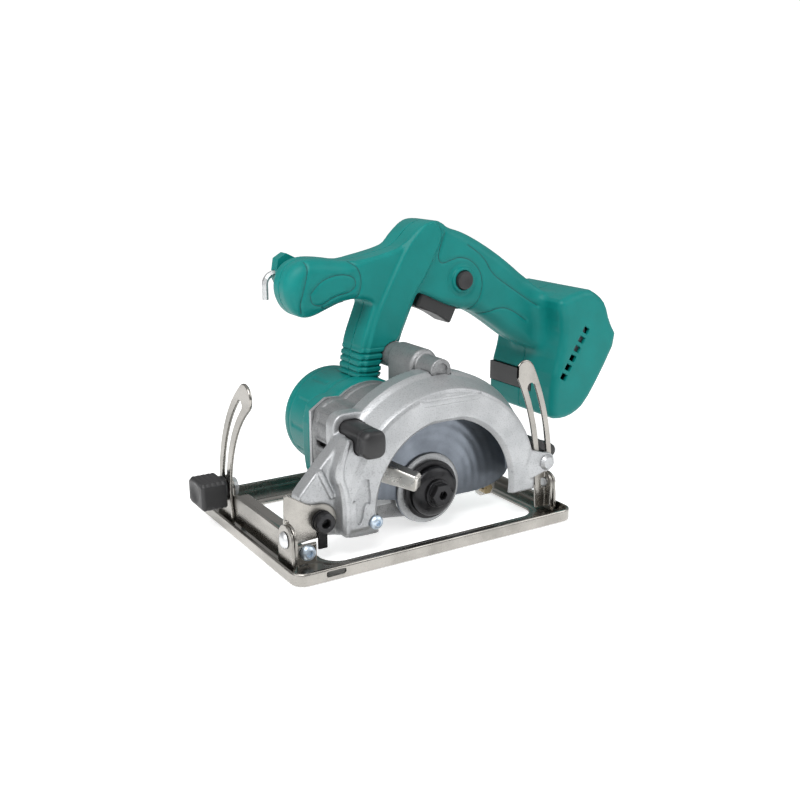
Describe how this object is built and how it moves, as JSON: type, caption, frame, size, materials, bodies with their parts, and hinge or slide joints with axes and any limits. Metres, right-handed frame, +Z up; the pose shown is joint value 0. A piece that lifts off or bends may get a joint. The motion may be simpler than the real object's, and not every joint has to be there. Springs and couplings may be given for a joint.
{
  "type": "cordless circular saw",
  "caption": "Compact cordless circular saw on a slotted sole plate, with bevel and depth adjustment, arched blade guards and a rear battery dock; no blade or battery fitted.",
  "frame": {"origin": "under the middle of the saw's bounding box, on the plane of the sole plate's underside", "axes": "+X is the cutting direction, +Y is the blade side, +Z is up"},
  "size_m": [0.3212, 0.162, 0.1932],
  "materials": {
    "teal_plastic": "satin moulded teal",
    "black_plastic": "moulded black",
    "cast_metal": "speckled cast finish",
    "dark_cast": "darker cast finish",
    "plated_sheet": "bright nickel plate",
    "steel": "plain steel",
    "blue_zinc": "blue zinc plate",
    "black_steel": "black oxide",
    "black_rubber": "matt",
    "winding": "enamelled copper and steel",
    "board_potting": "potted electronics"
  },
  "bodies": {
    "base": {"base_plate": "plated_sheet", "bevel_quadrant": "plated_sheet", "front_hinge_pin": "steel", "rear_hinge_pin": "steel", "fence_clamp_screw": "blue_zinc", "bevel_stop_screw": "blue_zinc"},
    "tilt_frame": {"bevel_frame": "plated_sheet", "depth_guide": "plated_sheet", "bevel_bolt": "steel", "pivot_screw": "black_steel", "pivot_lock_washer": "black_steel"},
    "bevel_lock": {"bevel_knob": "black_plastic"},
    "saw": {"upper_guard": "cast_metal", "gear_case": "dark_cast", "motor_bracket": "dark_cast", "motor_housing": "teal_plastic", "motor_stator": "winding", "rotor_bearing_far": "steel", "rotor_bearing_near": "steel", "spindle_bearing_far": "steel", "spindle_bearing_near": "steel", "bearing_retainer": "cast_metal", "lower_guard_spring": "steel", "stop_bracket": "steel", "stop_bracket_screw": "steel", "guard_stop_rubber": "black_rubber", "guard_stop_screw": "blue_zinc", "handle_shell_near": "teal_plastic", "handle_shell_far": "teal_plastic", "handle_screw_1": "black_steel", "handle_screw_2": "black_steel", "handle_screw_3": "black_steel", "handle_screw_4": "black_steel", "switch_body": "black_plastic", "trigger_spring": "steel", "dock_grille": "black_plastic", "terminal_block": "black_plastic", "control_board": "board_potting", "hex_key": "steel", "key_clip": "teal_plastic", "depth_bolt": "steel", "lock_spring": "steel"},
    "rotor_group": {"rotor": "steel", "rotor_fan": "black_plastic"},
    "idler_group": {"idler_gear": "steel"},
    "spindle_group": {"spindle_gear": "steel", "spindle": "steel", "inner_flange": "black_steel", "outer_flange": "black_steel", "blade_bolt": "black_steel"},
    "swing_guard": {"lower_guard": "plated_sheet", "lower_guard_lever": "cast_metal"},
    "trigger_group": {"trigger": "black_plastic"},
    "lock_off": {"lock_off_button": "black_plastic"},
    "spindle_lock": {"spindle_lock_button": "black_plastic"},
    "depth_lock": {"depth_knob": "black_plastic"}
  },
  "joints": [
    {"name": "bevel_tilt", "type": "hinge", "parent": "base", "child": "tilt_frame", "pos_m": [0.04135, 0.0585, 0.0215], "axis": [-1, 0, 0], "range_deg": [0, 45]},
    {"name": "bevel_knob_turn", "type": "hinge", "parent": "tilt_frame", "child": "bevel_lock", "pos_m": [0.14065, -0.03138, 0.02621], "axis": [1, 0, 0], "range_deg": [0, 180]},
    {"name": "depth_swing", "type": "hinge", "parent": "tilt_frame", "child": "saw", "pos_m": [0.11385, 0.05, 0.0265], "axis": [0, 1, 0], "range_deg": [0, 18]},
    {"name": "depth_knob_turn", "type": "hinge", "parent": "saw", "child": "depth_lock", "pos_m": [-0.05132, 0.043, 0.03689], "axis": [0, 1, 0], "range_deg": [0, 90]},
    {"name": "lower_guard_swing", "type": "hinge", "parent": "saw", "child": "swing_guard", "pos_m": [0.02805, 0.0364, 0.0265], "axis": [0, -1, 0], "range_deg": [0, 150]},
    {"name": "spindle_turn", "type": "hinge", "parent": "saw", "child": "spindle_group", "pos_m": [0.02805, 0, 0.0265], "axis": [0, 1, 0], "continuous": true},
    {"name": "rotor_turn", "type": "hinge", "parent": "saw", "child": "rotor_group", "pos_m": [0.04735, 0, 0.0565], "axis": [0, 1, 0], "continuous": true},
    {"name": "idler_turn", "type": "hinge", "parent": "saw", "child": "idler_group", "pos_m": [0.04764, 0, 0.0365], "axis": [0, 1, 0], "continuous": true},
    {"name": "trigger_press", "type": "slide", "parent": "saw", "child": "trigger_group", "axis": [-0.4415, 0, 0.8973], "range_m": [0, 0.0045], "stiffness_N_per_m": 400, "springref_m": -0.002, "deforming": ["trigger_spring"]},
    {"name": "lock_off_press", "type": "slide", "parent": "saw", "child": "lock_off", "axis": [0, -1, 0], "range_m": [0, 0.0022], "stiffness_N_per_m": 300, "springref_m": -0.001},
    {"name": "spindle_lock_press", "type": "slide", "parent": "saw", "child": "spindle_lock", "axis": [0, -1, 0], "range_m": [0, 0.0035], "stiffness_N_per_m": 300, "springref_m": -0.002, "deforming": ["lock_spring"]}
  ],
  "couplings": [
    {"joint": "idler_turn", "follows": "spindle_turn", "ratio": -2.1429},
    {"joint": "rotor_turn", "follows": "spindle_turn", "ratio": 5}
  ]
}
